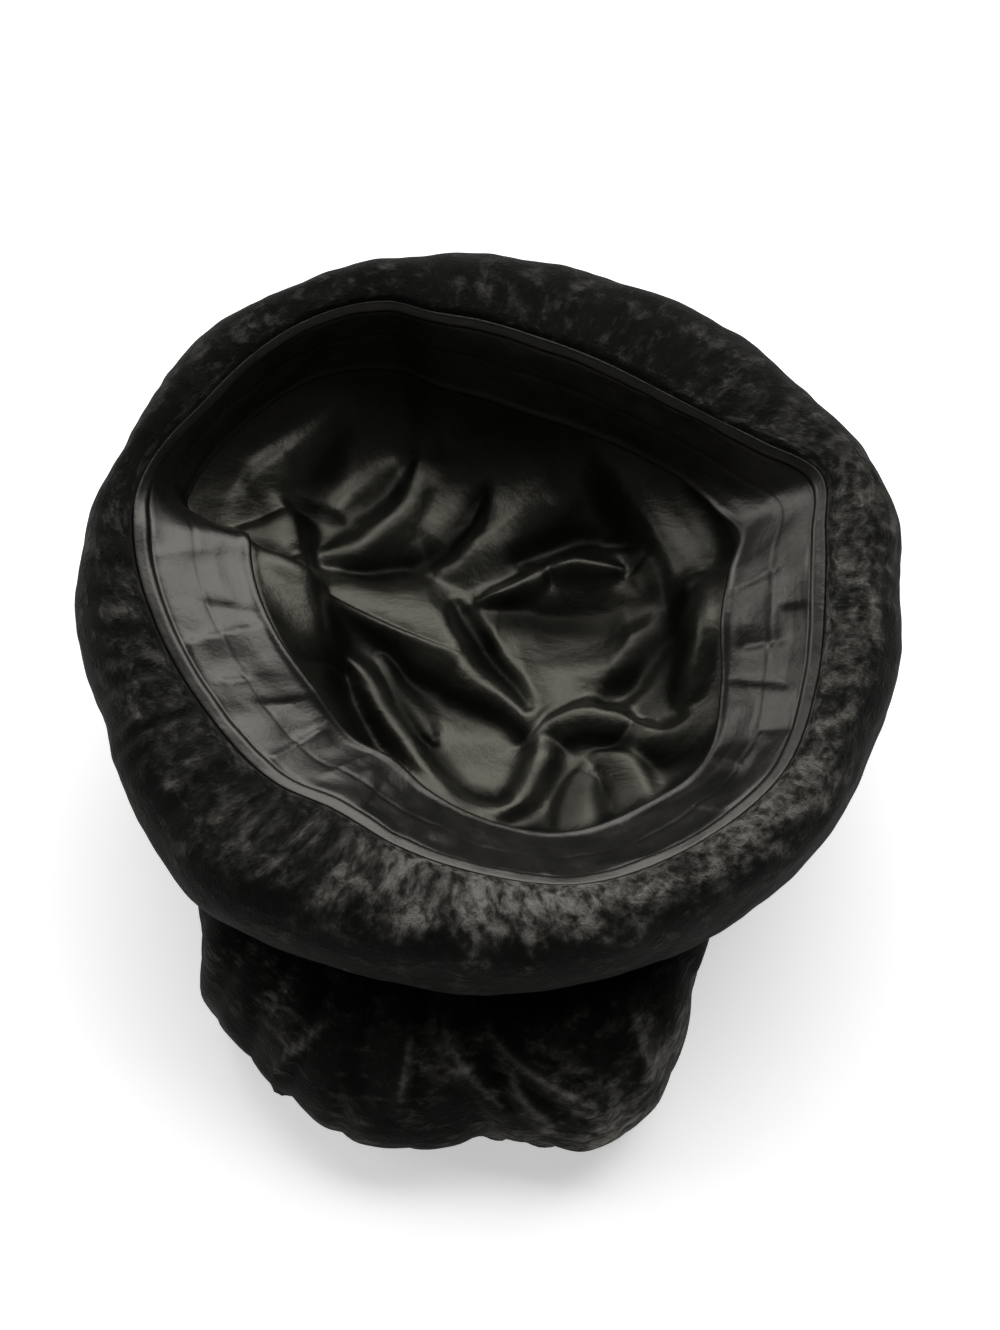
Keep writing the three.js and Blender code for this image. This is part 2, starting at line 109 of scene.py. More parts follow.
# %% The opening
OPENING = Stations("azimuth rim cuff fall", [
    [0, 94.5, 118.3, 29],
    [12, 97, 120, 33],
    [21, 100.5, 118, 42],
    [30, 90, 116.5, 62],
    [40, 81.8, 112, 74],
    [52, 77, 108, 76],
    [66, 75.6, 105.5, 74],
    [80, 76.8, 107, 72],
    [92, 80.5, 107.5, 72],
    [101, 84.3, 106, 74],
    [109, 90.7, 107, 78],
    [124, 95.5, 113, 84],
    [145, 98.3, 114, 86],
    [152, 101, 115, 82],
    [158, 103, 116, 74],
    [163.5, 103.6, 117, 48],
    [168.5, 102, 117, 24],
    [174, 99.3, 117, 19],
    [186, 92.5, 115.5, 13],
    [202, 84.8, 113, 16],
    [220, 79, 115, 27],
    [234, 73, 110.5, 33],
    [250, 73.6, 106, 38],
    [270, 77.4, 104.5, 41],
    [290, 84.5, 105, 41],
    [310, 89.7, 109.5, 41],
    [330, 95.6, 113.5, 41],
    [346, 94.8, 116.5, 35],
])
print("the satin's edge lies", OPENING.rows[:, 1].min(), "to", OPENING.rows[:, 1].max(), "mm out")

# %% [markdown]
# ## Places, hills and ramps
# A place on the hat is an azimuth, a distance out and a height. A strip of cloth that goes all the way
# round has its two ends at the back, out of sight. Every small form is a hill, which is soft on
# both sides, or a ramp, which rises evenly and stops. A form that is the sum of such steps can be read
# and changed one number at a time.

# %% Places round the hat and soft steps
SEAM_AT = 100.0


def round_strip(u):
    """The azimuth in degrees at this share of the length of a strip that is closed at the back."""
    return u * 360 + SEAM_AT


def polar(azimuth, radius, height):
    """Points at these azimuths in degrees, as rows of x, y, z in millimetres."""
    angle = np.radians(azimuth)
    return np.stack([radius * np.cos(angle), radius * np.sin(angle), height + 0 * angle], axis=-1)


def rim(azimuth):
    """How far out and how high the satin's edge lies."""
    radius = OPENING("rim", azimuth)
    return radius, RIM_HEIGHT + radius * np.sin(np.radians(azimuth)) * RIM_TILT


def bump(distance, width):
    """A soft hill that is 1 high."""
    return np.exp(-((distance / width) ** 2))


def ramp(value, start, length):
    """0 at the start and 1 a length further on. A negative length runs backwards."""
    return np.clip((value - start) / length, 0, 1)


def turn_between(azimuth, other):
    return np.abs(np.mod(azimuth - other + 180, 360) - 180)


print("a quarter of the way along a strip is at azimuth", round_strip(0.25))

# %% [markdown]
# ## From the hat's own centre to the frame's origin
# The frame's origin is the middle of the whole hat's box. The sweatband's outer edge is known both in
# the frame and in the tables, so the difference is the way from the tables' centre to the frame.

# %% Where the tables' centre lies in the frame
SOLID_STEPS = 80
round_steps = np.arange(SOLID_STEPS) * 360.0 / SOLID_STEPS
band_edge = polar(round_steps, OPENING("rim", round_steps), 0)
band_box = [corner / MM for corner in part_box("satin_sweatband")]
CENTRE = np.array([
    (band_box[0].x + band_box[1].x - band_edge[:, 0].min() - band_edge[:, 0].max()) / 2,
    (band_box[0].y + band_box[1].y - band_edge[:, 1].min() - band_edge[:, 1].max()) / 2,
    0.0,
])
print("tables' centre in the frame", CENTRE.round(2), "mm")

# %% [markdown]
# ## The camera
# The photograph looks down into the hat from the front, three quarters of the way up to straight
# overhead. A long lens from well back keeps the opening's outline as the tables have it. The hat's ring
# sits a little above and left of the picture's middle, so the camera aims a little below and right of
# it.

# %% Camera
PHOTO_WIDTH, PHOTO_HEIGHT = 1000, 1330
PHOTO_SCALE = 0.28
RING_ACROSS, RING_DOWN = 488, 600
ELEVATION = math.radians(67.5)
CAMERA_DISTANCE = 1600.0
SENSOR = 36.0

back = Vector((0, -math.cos(ELEVATION), math.sin(ELEVATION)))
image_up = Vector((0, math.sin(ELEVATION), math.cos(ELEVATION)))
aim = Vector(CENTRE) + Vector((0, 0, RIM_HEIGHT))
aim += Vector((1, 0, 0)) * (PHOTO_WIDTH / 2 - RING_ACROSS) * PHOTO_SCALE
aim -= image_up * (PHOTO_HEIGHT / 2 - RING_DOWN) * PHOTO_SCALE
camera_data = bpy.data.cameras.new("camera")
camera_data.sensor_width = SENSOR
camera_data.lens = SENSOR * CAMERA_DISTANCE / (PHOTO_HEIGHT * PHOTO_SCALE)
camera = bpy.data.objects.new("camera", camera_data)
camera.location = (aim + back * CAMERA_DISTANCE) * MM
camera.rotation_mode = "QUATERNION"
camera.rotation_quaternion = (-back).to_track_quat("-Z", "Y")
bpy.context.collection.objects.link(camera)
bpy.context.scene.camera = camera
print("lens", round(camera_data.lens, 1), "mm")

# %% [markdown]
# ## Cloth as a grid
# Every piece of cloth is a bmesh grid. One function lays the grid: it asks a placing function where the
# cloth lies at (u, v), each from 0 to 1, and keeps the flat place in the UV map, in metres of cloth.
# Solidify then gives the wall its thickness, with the seam already closed.

# %% Lay a grid of cloth
def cloth_grid(name, columns, rows, place, flat, closed=True, layers=None):
    """A mesh whose vertices lie at place(u, v). flat is the cloth's two sides in metres."""
    mesh = bmesh.new()
    bmesh.ops.create_grid(mesh, x_segments=columns, y_segments=rows, size=0.5)
    u = np.array([vertex.co.x + 0.5 for vertex in mesh.verts])
    v = np.array([vertex.co.y + 0.5 for vertex in mesh.verts])
    uv_layer = mesh.loops.layers.uv.new("UVMap")
    for face in mesh.faces:
        for loop in face.loops:
            loop[uv_layer].uv = ((loop.vert.co.x + 0.5) * flat[0], (loop.vert.co.y + 0.5) * flat[1])
    for layer_name, values in (layers or {}).items():
        layer = mesh.verts.layers.float.new(layer_name)
        for vertex, value in zip(mesh.verts, values(u, v)):
            vertex[layer] = value
    places = (place(u, v) + CENTRE) * MM
    for vertex, position in zip(mesh.verts, places):
        vertex.co = position
    if closed:
        bmesh.ops.remove_doubles(mesh, verts=mesh.verts, dist=1e-6)
    bmesh.ops.recalc_face_normals(mesh, faces=mesh.faces)
    for face in mesh.faces:
        face.smooth = True
    print(name, "has", len(mesh.faces), "faces")
    return mesh


# %% Thicken a grid and make it a piece of the hat
def facing(mesh, wanted):
    """Turns an open sheet over unless its faces point the wanted way, a function of a face."""
    if sum(wanted(face) for face in mesh.faces) < 0:
        bmesh.ops.reverse_faces(mesh, faces=mesh.faces)


def thicken(mesh, wall):
    bmesh.ops.solidify(mesh, geom=mesh.faces, thickness=wall * MM)


def as_piece(mesh, name, material, node):
    data = bpy.data.meshes.new(name)
    mesh.to_mesh(data)
    mesh.free()
    piece = bpy.data.objects.new(name, data)
    bpy.context.collection.objects.link(piece)
    data.materials.append(material)
    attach(piece, "root")
    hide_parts(node)
    print(name, "stands for", node)
    return piece


# %% [markdown]
# ## Crumples
# Cloth that has been handled is nowhere quite smooth. Its crumples come in several sizes at once, so a
# piece lists them in layers, from broad to fine, and the sum of their noises is the relief.

# %% Smooth noise in layers
def wander(points, size, seed):
    """Smooth noise from -1 to 1 at points in millimetres, with features of about that size."""
    offset = Vector((seed * 17.3, seed * 5.1, seed * 9.7))
    return np.array([noise.noise(Vector(point) / size + offset) for point in points])


def crumple(points, layers):
    """The sum of noises. Each layer is a height, a size in millimetres and a seed."""
    return sum(height * wander(points, size, seed) for height, size, seed in layers)


sample = crumple(polar(np.arange(0, 360, 5), 90.0, 0), [[1, 20, 1]])
print("crumples of height 1 reach", round(float(np.abs(sample).max()), 2))

# %% [markdown]
# ## Shader maths as Python
# Shader nodes are easier to read as sums. This small class wraps a socket, and an expression on it
# adds the Math nodes. Everything else goes through one method that makes a node from its settings.

# %% Sockets that can be added and multiplied
class Value:
    def __init__(self, finish, socket):
        self.finish, self.socket = finish, socket

    def _join(self, operation, first, second):
        node = self.finish.node("ShaderNodeMath", dict(operation=operation), {0: first, 1: second})
        return Value(self.finish, node.outputs[0])

    def __add__(self, other):
        return self._join("ADD", self, other)

    def __sub__(self, other):
        return self._join("SUBTRACT", self, other)

    def __rsub__(self, other):
        return self._join("SUBTRACT", other, self)

    def __mul__(self, other):
        return self._join("MULTIPLY", self, other)

    def __pow__(self, other):
        return self._join("POWER", self, other)

    def __rpow__(self, other):
        return self._join("POWER", other, self)

    def smooth(self, low, high):
        """0 below low, 1 above high, with a soft step between."""
        node = self.finish.node(
            "ShaderNodeMapRange", dict(interpolation_type="SMOOTHSTEP"),
            {"Value": self, "From Min": low, "From Max": high},
        )
        return Value(self.finish, node.outputs["Result"])

    __radd__ = __add__
    __rmul__ = __mul__


# %% A material that nodes are added to
class Finish:
    """A material with a Principled shader, and short ways to add nodes to it."""

    def __init__(self, name, **constants):
        self.material = bpy.data.materials.new(name)
        self.material.use_nodes = True
        self.tree = self.material.node_tree
        self.shader = self.tree.nodes["Principled BSDF"]
        for socket, value in constants.items():
            self.shader.inputs[socket.replace("_", " ")].default_value = value

    def node(self, kind, settings=None, inputs=None):
        node = self.tree.nodes.new(kind)
        for setting, value in (settings or {}).items():
            setattr(node, setting, value)
        for socket, value in (inputs or {}).items():
            self.feed(node.inputs[socket], value)
        return node

    def feed(self, socket, value):
        if isinstance(value, Value):
            value = value.socket
        if isinstance(value, bpy.types.NodeSocket):
            self.tree.links.new(value, socket)
        else:
            socket.default_value = value

    def noise(self, vector, scale, detail=3.0, roughness=0.5, distortion=0.0):
        node = self.node("ShaderNodeTexNoise", {}, {
            "Vector": vector, "Scale": scale, "Detail": detail, "Roughness": roughness,
            "Distortion": distortion,
        })
        return Value(self, node.outputs["Fac"])

    def along_nap(self, vector, across, along, **settings):
        """Noise that is finer across the cloth than along it, or the other way round."""
        node = self.node("ShaderNodeMapping", {}, {"Vector": vector, "Scale": (across, along, 1.0)})
        return self.noise(node.outputs["Vector"], 1.0, **settings)

    def blend(self, share, dark, light):
        node = self.node("ShaderNodeMix", dict(data_type="RGBA"), {"Factor": share, 6: dark, 7: light})
        return node.outputs[2]

    def bump(self, height, distance, strength=1.0, under=None):
        inputs = {"Height": height, "Distance": distance, "Strength": strength}
        if under is not None:
            inputs["Normal"] = under
        return self.node("ShaderNodeBump", {}, inputs).outputs["Normal"]

    def cloth(self):
        return self.node("ShaderNodeUVMap", dict(uv_map="UVMap")).outputs["UV"]

    def place(self):
        return self.node("ShaderNodeTexCoord").outputs["Object"]

    def attribute(self, name):
        return Value(self, self.node("ShaderNodeAttribute", dict(attribute_name=name)).outputs["Fac"])

    def wear(self, socket, value):
        self.feed(self.shader.inputs[socket], value)

    def dim(self, share, color):
        """Mixes the shader with a matt one by a share from 0 to 1."""
        matt = self.node("ShaderNodeBsdfDiffuse", {}, {"Color": color})
        both = {"Fac": share, 1: self.shader.outputs["BSDF"], 2: matt.outputs["BSDF"]}
        mixed = self.node("ShaderNodeMixShader", {}, both)
        self.feed(self.tree.nodes["Material Output"].inputs["Surface"], mixed.outputs["Shader"])


# %% [markdown]
# ## Crushed velvet
# Velvet is a dense short pile. Where the pile points at the eye it is nearly black, and where it lies
# over it turns silvery. Crushed velvet is pressed in patches, so the lit places come as blotches with
# streaks that follow the pile's lay. The pile's rim light is the shader's sheen. The patches are two
# sizes of noise on the cloth's own UV map, and the streaks are noise stretched a little along the pile.
# Two attributes from the pieces paint light into the colour: one is how far the pile is brushed over,
# with a painted sheen that is strongest where the light falls, and the other is a painted highlight
# along the ridges of the crown's puffs.

# %% Velvet finish
PILE_BLACK = (0.0034, 0.0034, 0.0030, 1.0)
# Silver is the crushed patches' tone, and also the colour of the painted sheen and ridge highlights.
PILE_SILVER = (0.185, 0.177, 0.155, 1.0)
PILE_RIM = (0.75, 0.74, 0.70, 1.0)
TUFT_HEIGHT = 0.0012
FIBRE_HEIGHT = 0.0007


def velvet_finish(name):
    finish = Finish(
        name, Roughness=0.9, Specular_IOR_Level=0.08, Sheen_Weight=0.05, Sheen_Roughness=0.5,
        Sheen_Tint=PILE_RIM,
    )
    cloth = finish.cloth()
    patches = finish.noise(cloth, 120.0, detail=4.0, roughness=0.62, distortion=0.25).smooth(0.48, 0.68)
    flecks = finish.noise(cloth, 300.0, roughness=0.6, distortion=0.2).smooth(0.5, 0.72)
    blotches = finish.noise(cloth, 75.0, roughness=0.6, distortion=0.8).smooth(0.36, 0.62)
    tufts = finish.along_nap(cloth, 260.0, 190.0, roughness=0.55, distortion=0.35)
    streaks = finish.along_nap(cloth, 620.0, 380.0, roughness=0.6, distortion=0.3)
    fibres = finish.along_nap(cloth, 1500.0, 800.0, roughness=0.6, distortion=0.3)
    pile = finish.along_nap(cloth, 2600.0, 900.0, detail=2.0, roughness=0.6)
    crushed = patches * (0.4 + 0.35 * fibres) + 0.3 * flecks
    combed = 0.25 + 0.6 * tufts.smooth(0.32, 0.64) + 0.25 * streaks.smooth(0.36, 0.68)
    # Painted sheen: where the pile is brushed over it is lighter, most of all where the light falls on it.
    nap = finish.attribute("nap") * (0.5 + 0.6 * blotches)
    brushed_sheen = nap * combed * (0.85 + 0.3 * fibres)
    # Painted highlight along the ridges of the crown's puffs.
    highlighted = 0.45 * finish.attribute("edge") * (0.7 + 0.5 * fibres)
    shown = (0.44 * crushed + 0.95 * brushed_sheen + highlighted + 0.06).smooth(0.0, 1.1) ** 1.5
    finish.wear("Base Color", finish.blend(shown, PILE_BLACK, PILE_SILVER))
    low = finish.bump(crushed + 1.5 * brushed_sheen, TUFT_HEIGHT, 0.5)
    finish.wear("Normal", finish.bump(fibres + 0.6 * pile, FIBRE_HEIGHT, 0.5, low))
    return finish.material


VELVET = velvet_finish("crushed_velvet")
print("velvet has", len(VELVET.node_tree.nodes), "nodes")

# %% [markdown]
# ## Satin
# Satin is a smooth weave with long floats, so it has a soft gloss that is streaked along the floats.
# Its look comes almost only from how the folds turn the light, so the shader stays plain: a dark base,
# a middling roughness that varies a little, and the finest weave as bump. Real folds overhang and shut
# out the light below them. The lining here is a height over the plan and cannot overhang, so an
# attribute, "hollow", mixes in a matt black where such a fold would keep the light away.

# %% Satin finish
SATIN_DARK = (0.0040, 0.0040, 0.0034, 1.0)
SATIN_WORN = (0.0080, 0.0078, 0.0064, 1.0)
LINING_TINT = (1.0, 0.965, 0.80, 1.0)
BAND_TINT = (1.0, 0.96, 0.88, 1.0)
SLUB_HEIGHT = 0.0008
FLOAT_HEIGHT = 0.00012
SHADOW_SHARE = 0.92


def satin_finish(name, roughness, gloss, tint):
    finish = Finish(name, Specular_IOR_Level=gloss, Specular_Tint=tint)
    cloth = finish.cloth()
    cloudy = finish.noise(cloth, 90.0, roughness=0.55, distortion=0.6)
    floats = finish.along_nap(cloth, 1800.0, 5200.0, detail=2.0)
    slubs = finish.noise(cloth, 150.0, roughness=0.6)
    finish.wear("Base Color", finish.blend(cloudy.smooth(0.35, 0.7), SATIN_DARK, SATIN_WORN))
    finish.wear("Roughness", roughness + 0.16 * (cloudy - 0.5))
    soft = finish.bump(slubs, SLUB_HEIGHT, 0.35)
    finish.wear("Normal", finish.bump(floats, FLOAT_HEIGHT, 0.5, soft))
    finish.dim(SHADOW_SHARE * finish.attribute("hollow"), SATIN_DARK)
    return finish.material


SATIN = satin_finish("black_satin", roughness=0.33, gloss=0.74, tint=LINING_TINT)
BAND_SATIN = satin_finish("band_satin", roughness=0.34, gloss=0.8, tint=BAND_TINT)
print("satin has", len(SATIN.node_tree.nodes), "nodes")

# %% [markdown]
# ## The rolled cuff
# The cuff is a strip of velvet turned over the rim and down the outside, soft enough to lump and
# pucker. Its section is a short row of points from behind the rim, over the roll and down to the
# lower fold, and the width of the roll comes from the stations. Puckers run square to the rim, so they
# are ripples along the azimuth whose depth has its own table.

# %% The cuff's section, lumps and puckers
CUFF_SECTION = np.array([
    # share of the way out, out, up
    [0, 0.2, -6],
    [0, 0.2, 0.7],
    [0.10, 0.5, CUFF_PUFF * 0.75],
    [0.42, 1.2, CUFF_PUFF],
    [0.72, 0.4, 0.5],
    [0.92, -0.2, -7],
    [1, -1.1, -17],
    [1, -2.4, -28],
    [1, -6.2, -1 - CUFF_DEPTH * 0.94],
    [1, -FOLD_INSET, -CUFF_DEPTH],
])
CUFF_LUMPS = [
    # azimuth, width, swell
    [4, 5, -1.6], [15, 6, 1.2], [33, 7, -1.4], [47, 8, 1.2], [60, 6, 1.6], [84, 9, -1.2], [106, 8, 1.2],
    [122, 7, -1.6], [138, 8, 1.4], [157, 6, -1.4], [180, 7, 1.2], [193, 5, -1.6], [204, 5, 1.2],
    [214, 5, -1.6], [229, 6, 1.6], [257, 9, -1.4], [283, 9, 1.2], [309, 7, -1.2], [327, 7, 1.2],
    [343, 6, -1.4],
]
# The last column is how far the pile is brushed over and shows a painted sheen, strongest at the front.
PUCKERS = Stations("azimuth depth nap", [
    [0, 0.7, 0.55],
    [20, 0.6, 0.45],
    [45, 0.3, 0.16],
    [90, 0.25, 0.10],
    [130, 0.4, 0.16],
    [160, 0.5, 0.10],
    [185, 1.0, 0.26],
    [205, 1.2, 0.28],
    [225, 0.8, 0.30],
    [245, 0.4, 0.55],
    [258, 0.35, 1.0],
    [275, 0.35, 0.9],
    [295, 0.4, 0.75],
    [320, 0.5, 0.7],
    [345, 0.7, 0.62],
])
# Shares of the cuff's width: the roll, the puckers, and where the cloth is loose enough to crumple.
ROLL_START, ROLL_LENGTH = 0.1, 0.6
PUCKERED_AT, PUCKERED_WIDTH = 0.3, 0.2
LOOSE_START, LOOSE_RISE, LOOSE_FALL = 0.12, 0.15, 0.1
PUCKER_RIPPLES = [
    # ripples round the ring, how far the drift shifts them, start, share of the depth
    [54, 2.2, 0, 0.6],
    [93, 1.7, 1, 0.4],
]
# Crumples have a height, a size in mm and a seed.
PUCKER_DRIFT = [[4, 30.0, 1], [1.6, 11.0, 2]]
CUFF_CRUMPLES = [[0.7, 13.0, 3], [0.35, 6.0, 4]]
print(len(CUFF_LUMPS), "lumps in the cuff")

# %% How the cuff lies
def spline(points, t):
    """A smooth curve through rows of points, at t from 0 to 1."""
    padded = np.concatenate([2 * points[:1] - points[1:2], points, 2 * points[-1:] - points[-2:-1]])
    where = np.clip(t, 0, 1) * (len(points) - 1)
    index = np.minimum(where.astype(int), len(points) - 2)
    u = (where - index)[:, None]
    a, b, c, d = (padded[index + step] for step in range(4))
    return 0.5 * (2 * b + u * (c - a + u * (2 * a - 5 * b + 4 * c - d + u * (3 * b - a - 3 * c + d))))


def cuff_normal(azimuth, v):
    """The cuff faces in at its seam, up on top of the roll and out from there on."""
    tip = np.pi * ramp(v, ROLL_START, ROLL_LENGTH) - np.pi / 2
    return polar(azimuth, np.sin(tip), np.cos(tip))


def puckers(azimuth):
    """Ripples square to the rim that come and go, from -1 to 1."""
    angle = np.radians(azimuth)
    drift = crumple(polar(azimuth, rim(azimuth)[0], 0), PUCKER_DRIFT)
    return sum(
        share * np.sin(count * angle + shift * drift + start)
        for count, shift, start, share in PUCKER_RIPPLES
    )


def cuff_place(u, v):
    azimuth = round_strip(u)
    radius, height = rim(azimuth)
    reach = OPENING("cuff", azimuth) - radius
    section = spline(CUFF_SECTION, v)
    free = np.sin(np.pi * v) ** 2
    lump = sum(swell * bump(turn_between(azimuth, at), width) for at, width, swell in CUFF_LUMPS)
    out = section[:, 0] * reach + section[:, 1] + free * lump * section[:, 0]
    up = section[:, 2] + 0.5 * free * lump
    place = polar(azimuth, radius + out, height + up)
    depth = PUCKERS("depth", azimuth) * bump(v - PUCKERED_AT, PUCKERED_WIDTH)
    loose = ramp(v, LOOSE_START, LOOSE_RISE) * ramp(v, 1, -LOOSE_FALL)
    relief = (depth * puckers(azimuth) + crumple(place, CUFF_CRUMPLES) * loose) * loose
    return place + cuff_normal(azimuth, v) * relief[:, None]


roll = OPENING("cuff", 270) - OPENING("rim", 270)
print("the roll is", round(float(roll)), "mm across at the front")

# %% Where the cuff's pile is brushed over and shows a painted sheen
BELT_RADIUS, BELT_SPREAD = 100.0, 60.0
BELT_START, BELT_END = 0.07, 0.50
BELT_RISE, BELT_FALL = 0.05, 0.10
BELT_RAGS = [[0.10, 9.0, 5], [0.07, 3.5, 6]]


def cuff_nap_and_sheen(u, v):
    """Painted sheen on brushed pile: most on the lit side, in a belt just outside the satin with a ragged
    outer edge.
    """
    azimuth = round_strip(u)
    ragged = crumple(polar(azimuth, BELT_RADIUS, v * BELT_SPREAD), BELT_RAGS)
    belt = ramp(v, BELT_START, BELT_RISE) * ramp(BELT_END + ragged - v, 0, BELT_FALL)
    return PUCKERS("nap", azimuth) * belt


print("the belt is", round((BELT_END - BELT_START) * 100), "percent of the cuff's width")

# %% Make the cuff
CUFF_GRID = (560, 64)
CUFF_FLAT = (0.64, 0.075)
CUFF_TOP = 0.11
cuff_mesh = cloth_grid("cuff", *CUFF_GRID, cuff_place, CUFF_FLAT, layers={"nap": cuff_nap_and_sheen})
facing(cuff_mesh, lambda face: face.normal.z if face.calc_center_median().z > CUFF_TOP else 0)
thicken(cuff_mesh, VELVET_WALL)
cuff = as_piece(cuff_mesh, "cuff", VELVET, "velvet_cuff")

# %% [markdown]
# ## The sweatband
# The sweatband is a satin strip, sewn along the rim and turned in. It is a little too long for the
# curve that it follows, so it buckles gently, which is what breaks its reflections into blotches. It has
# a raised hem along both edges, a faint crease along its middle, and short slanted creases across it,
# each one sharp on one side and sloping on the other. The hem along the rim is a narrow flat strip,
# less steep than the band, so it catches the light all along the front.

# %% The sweatband's hems, creases and buckles
# In degrees: where the strip leans back, how far that spreads, and how much.
LEAN_AT, LEAN_SPREAD, LEAN = 166.0, 15.0, 9.0
# In mm: the rim's hem, by how far down the strip it is and how high it stands.
HEM_DOWN = [0.0, 0.6, 3.0, 4.0, 5.2]
HEM_LIFT = [0.0, 0.4, 1.25, 1.1, 0.0]
INNER_HEM_LIFT, INNER_HEM_AT, INNER_HEM_WIDTH = 0.7, BAND_WIDTH - 1.3, 1.2
GROOVES = [
    # depth, down, width
    [0.3, HEM_DOWN[-1], 0.7],
    [0.2, 0.52 * BAND_WIDTH, 0.7],
]
BAND_CREASES = [
    # azimuth, lean and step in mm, first and last share of the strip's width
    [172, -3, 0.7, 0.1, 0.8], [181, 5, -0.9, 0.4, 1], [187, -6, 1.1, 0.1, 1], [197, 3, 0.9, 0.2, 0.6],
    [203, 8, -0.9, 0.4, 1], [215, -4, 1.1, 0.1, 0.9], [226, 7, 0.7, 0.3, 1], [238, -5, -0.7, 0.2, 0.7],
    [256, 4, 0.6, 0.3, 1], [281, -6, 0.6, 0.1, 0.6], [303, 5, -0.7, 0.2, 1], [318, -6, 0.9, 0.1, 0.8],
    [329, 4, 1.0, 0.4, 1], [337, -3, -0.9, 0.1, 0.6], [346, 3, 1.1, 0.2, 1], [354, -2, -1.0, 0.3, 0.9],
    [1, 3, 1.0, 0.1, 0.5], [8, -4, 0.8, 0.4, 1],
]
CREASE_RADIUS = 85.0
CREASE_EDGE, CREASE_SLOPE = 1.3, 7.0
CREASE_FADE = 0.12
BAND_BUCKLES = [[1.1, 21.0, 11], [0.55, 9.0, 12]]
BUCKLE_RING = 90.0
# Shares of the strip's width over which the two sewn edges hold the cloth still.
HELD_AT_RIM, HELD_INSIDE, LEAST_FREE = 0.2, 0.25, 0.25
print(len(BAND_CREASES), "creases across the sweatband")

# %% How the sweatband lies
def band_point(azimuth, down, lift):
    """down runs along the strip, lift stands off it. At one place on the left it also leans back."""
    radius, height = rim(azimuth)
    fall = np.radians(OPENING("fall", azimuth))
    inward = down * np.cos(fall) + lift * np.sin(fall)
    drop = down * np.sin(fall) - lift * np.cos(fall)
    lean = LEAN * bump(turn_between(azimuth, LEAN_AT), LEAN_SPREAD) * inward / BAND_WIDTH
    return polar(azimuth - lean, radius - inward, height - drop)


def crease(azimuth, share, at, lean, step, first, last):
    """A slanted crease across the strip: a sharp edge on one side and a long slope on the other."""
    apart = (azimuth - at + 180) % 360 - 180
    along = np.radians(apart) * CREASE_RADIUS - lean * (share - 0.5)
    crossed = ramp(share, first, CREASE_FADE) * ramp(share, last, -CREASE_FADE)
    return step * crossed * np.exp(-np.abs(along) / np.where(along > 0, CREASE_SLOPE, CREASE_EDGE))


def band_place(u, v):
    azimuth = round_strip(u)
    down = v * BAND_WIDTH
    buckle = crumple(polar(azimuth, BUCKLE_RING, down), BAND_BUCKLES)
    creases = sum(crease(azimuth, down / BAND_WIDTH, *row) for row in BAND_CREASES)
    free = ramp(v, 0, HELD_AT_RIM) * np.maximum(ramp(v, 1, -HELD_INSIDE), LEAST_FREE)
    hem = np.interp(down, HEM_DOWN, HEM_LIFT) + INNER_HEM_LIFT * bump(down - INNER_HEM_AT, INNER_HEM_WIDTH)
    groove = sum(depth * bump(down - at, width) for depth, at, width in GROOVES)
    return band_point(azimuth, down, (buckle + creases) * free + hem - groove)


print("the band falls at", round(float(OPENING("fall", 270))), "degrees at the front")

# %% Make the sweatband
BAND_GRID = (560, 56)
BAND_FLAT = (0.56, 0.033)
band_mesh = cloth_grid("sweatband", *BAND_GRID, band_place, BAND_FLAT)
facing(band_mesh, lambda face: face.normal.z)
thicken(band_mesh, BAND_WALL)
band = as_piece(band_mesh, "sweatband", BAND_SATIN, "satin_sweatband")

# %% [markdown]
# ## Folds
# A fold in cloth is a soft ridge along a curve. Each row of a fold table gives the ridge's start,
# middle and end in plan, how high it stands, and how far it falls off on the left and on the right of
# someone who walks along it. Real folds lean, so one side is broad and the other drops away. Where two
# ridges meet they blend into the higher one, as cloth does, and do not add up to a spike. Every fold
# dies away a little towards its ends, and rows with a negative lift are valleys.

# %% Height that a table of folds adds
END_TAPER = 0.45
PATH_STEPS = 15
CREST = 2.8
BLEND = 3


def fold_height(folds, x, y, crest=CREST):
    """The height in millimetres at x, y. A higher crest gives broader tops and steeper sides."""
    ridges = np.zeros_like(x)
    valleys = np.zeros_like(x)
    for x1, y1, xm, ym, x2, y2, lift, left, right in folds:
        t = np.linspace(0, 1, PATH_STEPS)[:, None]
        start, middle, end = np.array([x1, y1]), np.array([xm, ym]), np.array([x2, y2])
        handle = 2 * middle - (start + end) / 2
        path = (1 - t) ** 2 * start + 2 * t * (1 - t) * handle + t**2 * end
        least = np.full_like(x, np.inf)
        width = np.full_like(x, float(left))
        along = np.zeros_like(x)
        for step, ((ax, ay), (bx, by)) in enumerate(zip(path[:-1], path[1:])):
            dx, dy = bx - ax, by - ay
            share = np.clip(((x - ax) * dx + (y - ay) * dy) / (dx * dx + dy * dy), 0, 1)
            from_x, from_y = x - ax - share * dx, y - ay - share * dy
            distance = np.hypot(from_x, from_y)
            side = (dx * from_y - dy * from_x) / (np.hypot(dx, dy) * np.maximum(distance, 1e-6))
            nearer = distance < least
            width = np.where(nearer, left + (right - left) * (1 - side) / 2, width)
            along = np.where(nearer, (step + share) / (len(path) - 1), along)
            least = np.minimum(least, distance)
        taper = 1 - END_TAPER * (2 * along - 1) ** 4
        height = (abs(lift) * taper * np.exp(-((least / (width * taper)) ** crest))) ** BLEND
        if lift > 0:
            ridges += height
        else:
            valleys += height
    return ridges ** (1 / BLEND) - valleys ** (1 / BLEND)


